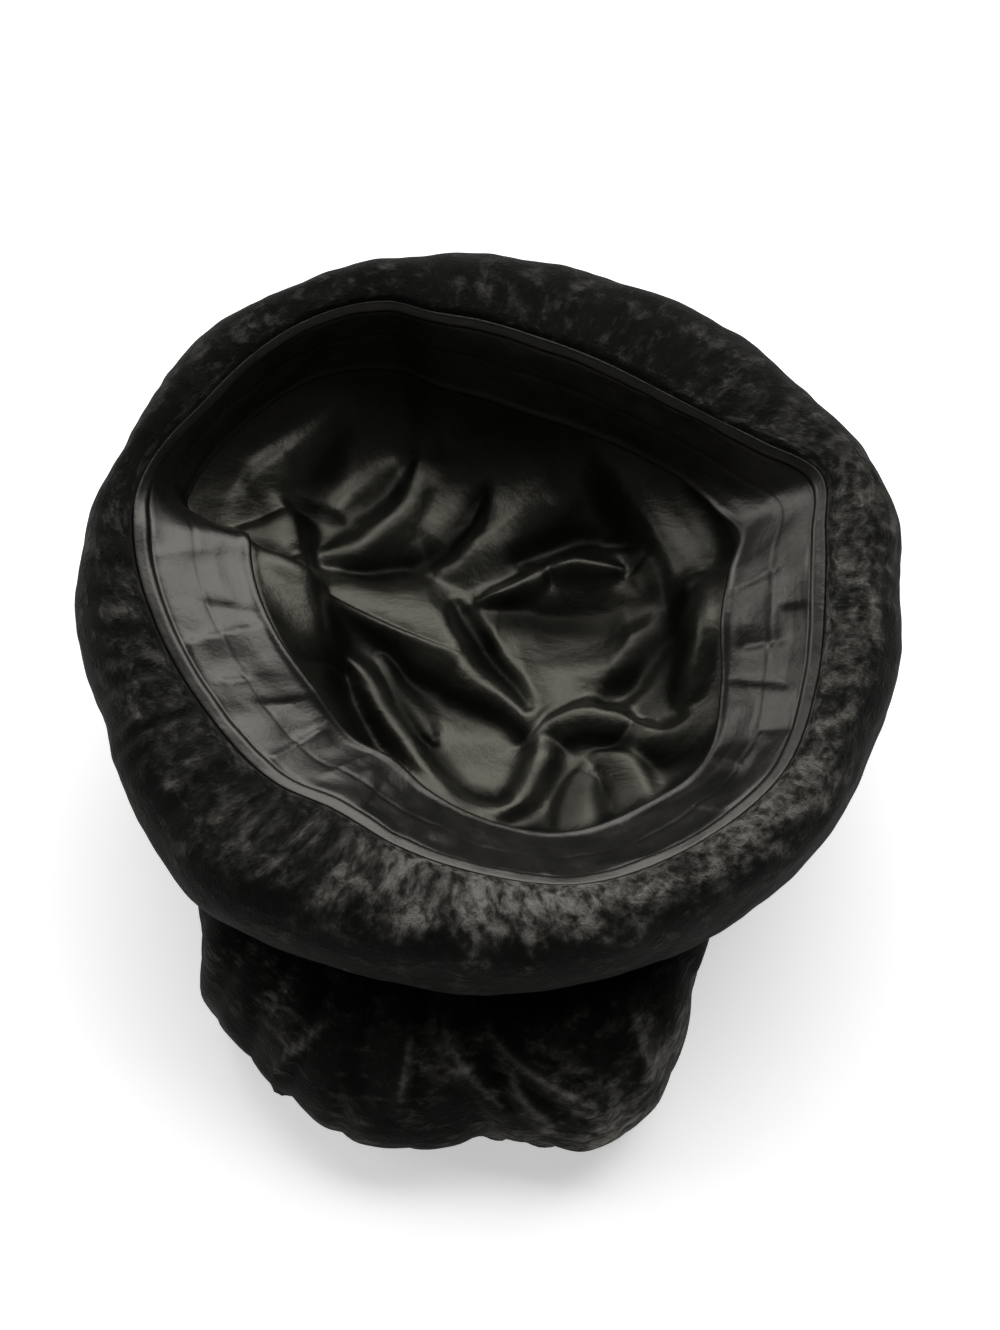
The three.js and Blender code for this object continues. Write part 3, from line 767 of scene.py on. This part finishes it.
lone_fold = [[-10, 0, 0, 0, 10, 0, 4, 5, 5]]
top = fold_height(lone_fold, np.zeros(1), np.zeros(1))[0]
print("a fold with a lift of 4 is", round(float(top), 1), "mm high in its middle")

# %% [markdown]
# ## The lining
# The lining is a satin bowl, too big for its place, so it lies in deep soft folds. The grid is a square
# drawn out to a disc, which keeps its faces even where a fan of triangles would crowd at the middle.
# The big folds come from one table, and smooth noise adds the small ones between them. A second table
# lists the hollows that lie in shadow. The bowl rises to the band suddenly at the front and gently on
# the left, where the lining leaves the band as a lit panel, so how it rises is a column of its own.

# %% The lining's folds
LINING_FOLDS = [
    # x1, y1, xm, ym, x2, y2, lift, left, right
    [-47, 33, -28, 43, -18.5, 62, 4, 5, 6.5],  # S-shaped ridge
    [-18.5, 62, -16, 70, -13, 77, 4, 8, 8],  # its fan at the top
    [-46, 46, -39, 53, -29, 60, 1.5, 4, 4],  # small ridge beside it
    [-70, 48.5, -59, 59, -45, 72.5, 4, 4, 11],  # fan from the left tack
    [-59, 45, -55.5, 36, -52, 26, 8, 4, 14],  # left panel
    [-53, 29, -49.5, 11, -44, -7, 14, 5, 15],  # and down along the band
    [-39, 28.5, -18, 33, -2, 51, -4, 5, 5],  # black crescent
    [-47, 22, -24, 14, -6, 0, 4.5, 12, 9],  # long lit ridge
    [-8, 1.5, 4, -8.5, 14, -19.5, 4.5, 7, 10],  # and on to the knot
    [-41, 11, -20, -5, 9, -22, -3, 5, 6],  # trench in front of it
    [-9, 18, -1, 4.5, 11, -13.5, -4, 4, 4],  # triangle left of the pocket
    [-3, 20.5, 4.5, 4, 14.5, -18.5, 3, 18, 3.5],  # left side of the pocket
    [-3, 20, 7.5, 23.5, 17.5, 30.5, 5, 3.5, 4],  # brow of the pocket
    [17.5, 30.5, 27.5, 30.5, 38.5, 28.5, 5, 3.5, 4],  # and along its top
    [9, 33, 24.5, 39, 42.5, 37, -4, 8, 4],  # black above the brow
    [3, 17.5, 21, 16, 39, 17.5, -4.5, 6, 17],  # the pocket
    [59, 14, 49, 2, 35, -11, -5, 5, 7],  # black diagonal
    [45, 31.5, 48, 26, 44, 20, 3.5, 7, 7],  # hooked blob
    [32, 57, 47.5, 38, 57, 13, 7, 9, 4],  # long fold at the right
    [56, 20, 59.5, 3, 57, -18, 9, 8, 4],  # down along the band
    [15, -21, 28.5, -15.5, 40.5, -19.5, 6, 4, 7],  # thin ridge from the knot
    [40.5, -19.5, 49.5, -24, 64, -18, 6, 4, 7],  # and on to the right
    [15.5, -22, 12.5, -36, 3, -48, 5, 5, 5],  # right wall of the loop
    [-39, -1, -29, -17, -17, -35, 5, 5, 4],  # left wall of the loop
    [-20, -30, -8, -45.5, 8, -44, 5.5, 5, 5],  # and round its bottom
    [-44, 0, -30, -29, -6, -54, -3, 4, 6],  # hollow outside it
    [-31, 1, -23, -12, -15.5, -23, 3, 4, 4],  # ridge inside the loop
    [27, -33, 24, -42, 20, -52, 2.5, 8, 4],  # left limb of the front loop
    [33, -28, 43, -34.5, 45, -49, 5, 4, 8],  # right limb of the front loop
    [50, -43, 56, -41.5, 61.5, -37.5, 2.5, 3, 3],  # small front right fold
    [-17.5, 31.5, 5, 38.5, 22, 48, 4.5, 16, 8],  # lit plane in the middle
]
print(len(LINING_FOLDS), "folds in the lining")

# %% The lining's hollows
LINING_HOLLOWS = [
    # x1, y1, xm, ym, x2, y2, share, left, right
    [-41, 29, -16, 34.5, 0, 54, 1, 4, 3.5],  # crescent
    [-48, 37.5, -36, 47, -25, 56, 0.7, 2, 2],  # beside the S-shaped ridge
    [-56, 38, -49, 52, -40, 68, 0.8, 4, 4],  # beside the fan
    [-41, 12, -19, -4, 10, -21.5, 1, 4, 4.5],  # in front of the long ridge
    [-9, 18, -1, 4.5, 11, -13.5, 1, 3, 3],  # triangle left of the pocket
    [1, 16, 18, 14, 36, 15, 1, 6.5, 6],  # the pocket
    [5, 30, 20, 39.5, 40, 37, 0.95, 4.5, 4],  # above its brow
    [58, 16, 48, 4.5, 32, -10, 0.95, 4, 5],  # black diagonal
    [27, 54, 39.5, 38, 50.5, 16, 0.85, 3.5, 3],  # beside the long fold
    [54, 55, 65, 39, 71, 20, 0.9, 2.5, 4],  # and outside it
    [51, 14, 54.5, 1, 53, -14, 0.8, 2.5, 3],  # and inside its lower part
    [-44, 12, -41, 2, -42, -6, 0.9, 3, 3],  # left end of the loop
    [-31, 0, -20, -21, -6, -38, 0.95, 3.5, 3],  # inside its left wall
    [-8, -37, 0, -40.5, 6, -38, 0.8, 3, 3],  # inside its bottom
    [-45, 0, -30, -30, -6, -53, 0.85, 2.5, 5],  # outside it
    [-8, -52, 8, -54, 20, -46, 1, 4, 5],  # below the loop
    [18, -28, 20, -37, 19, -47, 0.7, 4, 3],  # outside its right wall
    [19, -27, 31, -22.5, 43, -27.5, 1, 2.5, 4.5],  # below the thin ridge
    [43, -27.5, 53, -32, 63, -26, 1, 3, 4.5],  # and on to the right
    [33, -34, 32.5, -42, 34, -53, 1, 4.5, 4],  # inside the front loop
    [25, -31, 23, -42, 19, -53, 0.75, 6, 5],  # its left limb
]
print(len(LINING_HOLLOWS), "hollows in the lining")

# %% Where a place on the lining is in plan
LINING_CENTRE = np.array([3.0, -2.0])
LINING_TUCK = 3.0
LINING_DROP = 1.5
BEHIND_BAND = -2.5
TUCKED_SHARE = 0.97
FOLD_DRIFT, DRIFT_SIZE, DRIFT_SEEDS = 1.6, 13.0, (23, 24)


def to_disc(u, v):
    """A square's points drawn out to a disc: azimuth in degrees and share of the radius."""
    x, y = 2 * u - 1, 2 * v - 1
    out = np.maximum(np.abs(x), np.abs(y))
    safe = np.maximum(out, 1e-9)
    side = np.abs(x) >= np.abs(y)
    azimuth = np.where(
        side,
        np.where(x > 0, y / safe * 45, 180 - y / safe * 45),
        np.where(y > 0, 90 - x / safe * 45, 270 + x / safe * 45),
    )
    return azimuth, out


def lining_plan(u, v):
    """How far out a place is, the lining's edge there, and its plan without and with the folds' drift."""
    azimuth, out = to_disc(u, v)
    share = np.minimum(out / TUCKED_SHARE, 1)
    edge = band_point(azimuth, BAND_WIDTH + LINING_DROP, BEHIND_BAND)
    plan = LINING_CENTRE + (edge[:, :2] - LINING_CENTRE) * share[:, None]
    flat = np.column_stack([plan, 0 * share])
    drift = FOLD_DRIFT * np.column_stack([wander(flat, DRIFT_SIZE, seed) for seed in DRIFT_SEEDS])
    return azimuth, out, share, edge, flat, plan + drift


print("the lining is tucked", LINING_TUCK, "mm behind the band")

# %% How the lining lies
BOWL = Stations("azimuth curve", [
    [0, 3.5],
    [30, 5],
    [60, 6],
    [95, 7],
    [130, 6],
    [165, 3],
    [195, 6],
    [230, 14],
    [270, 15],
    [315, 13],
    [340, 6],
])
LINING_CREST = 2.1
HOLLOW_CREST = 3.2
HELD_AT_EDGE = 14
CREASE_LIFT, CREASE_SIZE = 0.8, 24.0
SMALL_LIFT, SMALL_SIZE = 0.2, 11.0


def lining_place(u, v):
    azimuth, out, share, edge, flat, folded = lining_plan(u, v)
    tucked = band_point(azimuth, BAND_WIDTH - LINING_TUCK, BEHIND_BAND)
    bowl = LINING_FLOOR + (edge[:, 2] - LINING_FLOOR) * share ** BOWL("curve", azimuth)
    shift = folded[:, 0] - flat[:, 0]
    creases = CREASE_LIFT * (1 - 2 * np.abs(wander(flat + 3 * shift[:, None], CREASE_SIZE, 21)))
    creases += SMALL_LIFT * (1 - 2 * np.abs(wander(flat, SMALL_SIZE, 22)))
    folds = fold_height(LINING_FOLDS, *folded.T, crest=LINING_CREST)
    z = bowl + (folds + creases) * (1 - share**HELD_AT_EDGE)
    place = np.column_stack([flat[:, :2], z])
    behind = ramp(out, TUCKED_SHARE, 1 - TUCKED_SHARE)[:, None]
    return place * (1 - behind) + tucked * behind


def lining_hollow(u, v):
    """How much of the light the folds around a place keep off it."""
    folded = lining_plan(u, v)[-1]
    return np.clip(fold_height(LINING_HOLLOWS, *folded.T, crest=HOLLOW_CREST), 0, 1)


print("the lining's floor is", LINING_FLOOR, "mm above the surface")

# %% Make the lining
LINING_GRID = (190, 190)
LINING_FLAT = (0.21, 0.21)
lining_layers = {"hollow": lining_hollow}
lining_mesh = cloth_grid(
    "lining", *LINING_GRID, lining_place, LINING_FLAT, closed=False, layers=lining_layers,
)
facing(lining_mesh, lambda face: face.normal.z)
thicken(lining_mesh, LINING_WALL)
lining = as_piece(lining_mesh, "lining", SATIN, "satin_lining")

# %% [markdown]
# ## The gathered crown
# The crown is a velvet bag, gathered into the seam under the cuff. It lies flat where it meets the
# surface, and it flops forward in two puffs. Its section is a curve from the seam out to the widest
# line and down to the foot. The gathers are narrow valleys that are deepest just below the seam. The
# folds of the puffs are a table again, and along their ridges a painted highlight lightens the pile.

# %% The crown's widest line
CROWN = Stations("azimuth belly height", [
    [0, 107, 32],
    [20, 110, 34],
    [45, 110, 36],
    [70, 108, 38],
    [90, 107, 38],
    [112, 108, 38],
    [135, 110, 36],
    [160, 109, 34],
    [180, 107, 30],
    [195, 104, 28],
    [207, 101, 26],
    [216, 102.5, 24],
    [222, 112, 22],
    [228, 122, 21],
    [240, 130, 20],
    [252, 138, 18],
    [260, 138, 18],
    [266, 134, 17],
    [270, 130.5, 16],
    [274, 133.5, 17],
    [281, 138, 18],
    [287, 136, 18],
    [293, 129, 20],
    [298, 119, 21],
    [304, 107, 23],
    [311, 98, 24],
    [322, 97, 26],
    [335, 102, 28],
    [347, 105, 30],
])
print("the crown is", CROWN.rows[:, 1].min(), "to", CROWN.rows[:, 1].max(), "mm out")

# %% The crown's dents, folds and gathers
CROWN_DENTS = [
    # azimuth, down, spread, tall, depth
    [8, 0.42, 17, 0.1, 5],
    [38, 0.6, 20, 0.12, 6],
    [63, 0.36, 16, 0.1, 5],
    [96, 0.58, 22, 0.12, 7],
    [124, 0.38, 15, 0.1, 5],
    [150, 0.62, 20, 0.12, 6],
    [177, 0.4, 15, 0.1, 5],
    [201, 0.6, 14, 0.12, 4],
    [318, 0.56, 14, 0.12, 4],
    [341, 0.62, 17, 0.12, 5],
]
CROWN_FOLDS = [
    # x1, y1, xm, ym, x2, y2, lift, left, right
    [-41.5, -104, -50.5, -110, -60, -116, 4, 2, 3],  # ridge towards the left outline
    [-23, -102, -22.5, -116, -26, -129, 4.5, 2, 3],  # middle of the left puff
    [-33, -104, -33, -115, -36, -126, -4, 4, 4],  # valley left of it
    [-11.5, -102, -9, -116, 4.5, -128, 5, 2, 3],  # left edge of the notch
    [-5, -103, -2.5, -113, 4.5, -121, -8, 4, 4],  # the notch between the puffs
    [0, -101, 6, -116, 29, -128.5, 5.5, 3, 2.5],  # right edge of the notch
    [6, -120, 10.5, -127.5, 18, -132, 3, 2, 2],  # small ridge below it
    [9, -112.5, 19, -118, 28, -125, -5, 3, 3],  # valley above it
    [39.5, -99, 43, -109, 45.5, -119, 4.5, 2.5, 6],  # outer ridge of the right puff
]
GATHERS = 44
GATHER_DEPTH = 3.4
GATHER_RING = 60.0
CROWN_CRUMPLES = [[1.5, 15.0, 34], [0.7, 7.0, 35]]
# Folds and crumples are calmer at the widest line, by this share and over this share of the way down.
CALM, CALM_WIDTH = 0.4, 0.16
print(len(CROWN_DENTS), "dents,", len(CROWN_FOLDS), "folds and", GATHERS, "gathers in the crown")

# %% The crown's section
SHOULDER_SHARE = 0.6
FLAT_SHARE = 0.72
SHOULDER_OUT = 0.55
SHOULDER_DROP = 0.35
BELLY_RISE = 0.55


def curve(t, a, b, c, d):
    return (1 - t) ** 3 * a + 3 * t * (1 - t) ** 2 * b + 3 * t**2 * (1 - t) * c + t**3 * d


def slope(t, a, b, c, d):
    return 3 * ((1 - t) ** 2 * (b - a) + 2 * t * (1 - t) * (c - b) + t**2 * (d - c))


def crown_section(azimuth, down):
    """Distance out, height and the way the cloth faces, out and up, at this share of the way down."""
    seam_radius = OPENING("cuff", azimuth) - SEAM_INSET
    seam_height = rim(azimuth)[1] - CUFF_DEPTH - SEAM_GAP
    belly = CROWN("belly", azimuth)
    height = CROWN("height", azimuth)
    reach = np.maximum(belly - seam_radius, 0)
    drop = seam_height - height
    level = np.minimum(reach / LONG_PUFF, 1)

    t = ramp(down, 0, SHOULDER_SHARE)
    handle_radius = seam_radius + SEAM_SWELL + SHOULDER_OUT * reach
    handle_height = seam_height - SHOULDER_DROP * drop * (1 - level)
    radii = (seam_radius, handle_radius, belly, belly)
    heights = (seam_height, handle_height, height + BELLY_RISE * drop, height)

    turn = ramp(down, SHOULDER_SHARE, 1 - SHOULDER_SHARE) * np.pi / 2
    lower = down > SHOULDER_SHARE
    radius = np.where(lower, belly - FOOT_INSET * (1 - np.cos(turn)), curve(t, *radii))
    rise = np.where(lower, height * (1 - np.sin(turn)), curve(t, *heights))
    out = np.where(lower, 1.0, -slope(t, *heights))
    up = np.where(lower, 0.0, slope(t, *radii))
    length = np.maximum(np.hypot(out, up), 1e-9)
    return polar(azimuth, radius, rise), polar(azimuth, out / length, up / length), t, turn


left_puff = crown_section(np.array([260.0]), np.array([SHOULDER_SHARE]))[0][0]
print("the left puff reaches", round(float(-left_puff[1])), "mm to the front")

# %% How the crown lies
def gathers(azimuth, down):
    """Narrow valleys, unevenly spaced, that are deepest just below the seam."""
    ring = polar(azimuth, GATHER_RING, 0)
    even = GATHERS / 2 * np.radians(azimuth)
    phase = even + 1.6 * wander(ring, 22.0, 31) + 0.7 * wander(ring, 9.0, 32)
    pinch = 1 - np.abs(np.sin(phase)) ** 0.7
    uneven = 0.7 + 0.6 * wander(ring, 14.0, 33)
    return GATHER_DEPTH * pinch * uneven * np.sin(np.pi * (0.12 + 0.88 * down)) * (1 - 0.5 * down)


def dents(azimuth, down):
    return sum(
        depth * bump(turn_between(azimuth, at), spread) * bump(down - where, tall)
        for at, where, spread, tall, depth in CROWN_DENTS
    )


def crown_place(u, v):
    azimuth = round_strip(u)
    down = ramp(v, 0, FLAT_SHARE)
    place, normal, t, turn = crown_section(azimuth, down)
    free = np.sin(np.pi / 2 * t) ** 2
    calm = 1 - CALM * bump(down - SHOULDER_SHARE, CALM_WIDTH)
    fold = fold_height(CROWN_FOLDS, place[:, 0], place[:, 1]) * free * calm
    crush = crumple(place, CROWN_CRUMPLES) * free * (0.4 + 0.6 * calm)
    swell = (fold + crush - gathers(azimuth, down) - dents(azimuth, down)) * np.cos(turn) ** 0.8
    place = place + normal * swell[:, None]

    centre = ramp(v, FLAT_SHARE, 1 - FLAT_SHARE)
    place[:, :2] *= (1 - centre)[:, None]
    place[:, 2] = np.where(v >= FLAT_SHARE, 0.0, np.maximum(place[:, 2], 0.0))
    return place


print("the crown lies flat over the last", round((1 - FLAT_SHARE) * 100), "percent of its length")

# %% Where the crown's pile shows light
PATCH_LIGHT = 0.45
PUFF_LIGHT = 0.70
PUFF_LIT_AT, PUFF_LIT_DOWN = 288.0, 0.55
PUFF_LIT_SPREAD, PUFF_LIT_TALL = 13.0, 0.25
PATCH_RING, PATCH_SPREAD, PATCH_SIZE = 100.0, 90.0, 16.0
# The ridges of the puffs get a painted highlight of this width and crest.
HIGHLIGHT_WIDTH = 1.3
HIGHLIGHT_CREST = 2
RIDGE_HIGHLIGHTS = [row[:6] + [1, HIGHLIGHT_WIDTH, HIGHLIGHT_WIDTH] for row in CROWN_FOLDS if row[6] > 0]


def crown_nap_and_sheen(u, v):
    """The pile shows light in broad patches, most of all on top of the right puff."""
    azimuth = round_strip(u)
    ring = polar(azimuth, PATCH_RING, v * PATCH_SPREAD)
    patches = PATCH_LIGHT * np.clip(wander(ring, PATCH_SIZE, 41) + 0.15, 0, 1)
    across = bump(turn_between(azimuth, PUFF_LIT_AT), PUFF_LIT_SPREAD)
    puff = PUFF_LIGHT * across * bump(v / FLAT_SHARE - PUFF_LIT_DOWN, PUFF_LIT_TALL)
    return (patches + puff) * ramp(v, 0, 0.08)


def crown_ridge_highlight(u, v):
    """A painted highlight along the ridges of the puffs, where they catch the light."""
    place = crown_place(u, v)
    height = fold_height(RIDGE_HIGHLIGHTS, place[:, 0], place[:, 1], crest=HIGHLIGHT_CREST)
    return height * ramp(v, FLAT_SHARE, -0.1) * ramp(v, 0, 0.2)


print(len(RIDGE_HIGHLIGHTS), "ridges are rubbed")

# %% Make the crown
CROWN_GRID = (480, 102)
CROWN_FLAT = (0.66, 0.17)
FOOT_TOP = 0.001
crown_layers = {"nap": crown_nap_and_sheen, "edge": crown_ridge_highlight}
crown_mesh = cloth_grid("crown", *CROWN_GRID, crown_place, CROWN_FLAT, layers=crown_layers)
facing(crown_mesh, lambda face: -face.normal.z if face.calc_center_median().z < FOOT_TOP else 0)
thicken(crown_mesh, VELVET_WALL)
crown = as_piece(crown_mesh, "crown", VELVET, "velvet_crown")

# %% [markdown]
# ## Floor and light
# The hat lies on plain white. Satin is a soft mirror: whatever faces the light is silver, and whatever
# faces the dark room is black. In the photograph the level places and the slopes that look up and back
# are lit and every slope that looks to the front is black, so the light is one wide bank overhead,
# reaching from above the hat to well behind it. A small weak light on the left picks out the folds
# beside the rim. A very weak white room lifts the shadows, and the floor glows a little so that it
# stays white round a hat lit this gently.

# %% Floor
FLOOR_SIZE = 8.0
FLOOR_GREY = (0.93, 0.93, 0.925, 1.0)
FLOOR_WHITE = (0.96, 0.96, 0.96, 1.0)
WHITE = (1.0, 1.0, 1.0, 1.0)
FLOOR_GLOW = 0.5
floor_mesh = bmesh.new()
bmesh.ops.create_grid(floor_mesh, x_segments=1, y_segments=1, size=FLOOR_SIZE / 2)
floor_data = bpy.data.meshes.new("floor")
floor_mesh.to_mesh(floor_data)
floor_mesh.free()
floor = bpy.data.objects.new("floor", floor_data)
bpy.context.collection.objects.link(floor)
floor_finish = Finish(
    "white_floor", Roughness=0.9, Specular_IOR_Level=0.1, Emission_Color=WHITE,
    Emission_Strength=FLOOR_GLOW,
)
grain = floor_finish.noise(floor_finish.place(), 3.0, detail=2.0)
floor_finish.wear("Base Color", floor_finish.blend(grain, FLOOR_GREY, FLOOR_WHITE))
floor_data.materials.append(floor_finish.material)
print("floor is", FLOOR_SIZE, "m wide")

# %% Lights
def softbox(name, place, aim_at, size, watts):
    data = bpy.data.lights.new(name, "AREA")
    data.shape = "RECTANGLE"
    data.size, data.size_y = size
    data.energy = watts
    light = bpy.data.objects.new(name, data)
    light.location = place
    light.rotation_mode = "QUATERNION"
    light.rotation_quaternion = (Vector(aim_at) - Vector(place)).to_track_quat("-Z", "Y")
    bpy.context.collection.objects.link(light)


softbox("overhead_bank", place=(0.2, 0.92, 1.35), aim_at=(0, 0.05, 0.08), size=(2.6, 1.5), watts=38.0)
softbox("left_window", place=(-1.35, 0.3, 0.6), aim_at=(0, 0, 0.08), size=(0.8, 0.6), watts=5.0)
print(len(bpy.data.lights), "lights")

# %% The white room
ROOM_STRENGTH = 0.06
world = bpy.data.worlds.new("white_room")
world.use_nodes = True
background = world.node_tree.nodes["Background"]
background.inputs["Color"].default_value = WHITE
background.inputs["Strength"].default_value = ROOM_STRENGTH
bpy.context.scene.world = world
bpy.context.scene.view_settings.view_transform = "Standard"
print("the room's strength is", ROOM_STRENGTH)
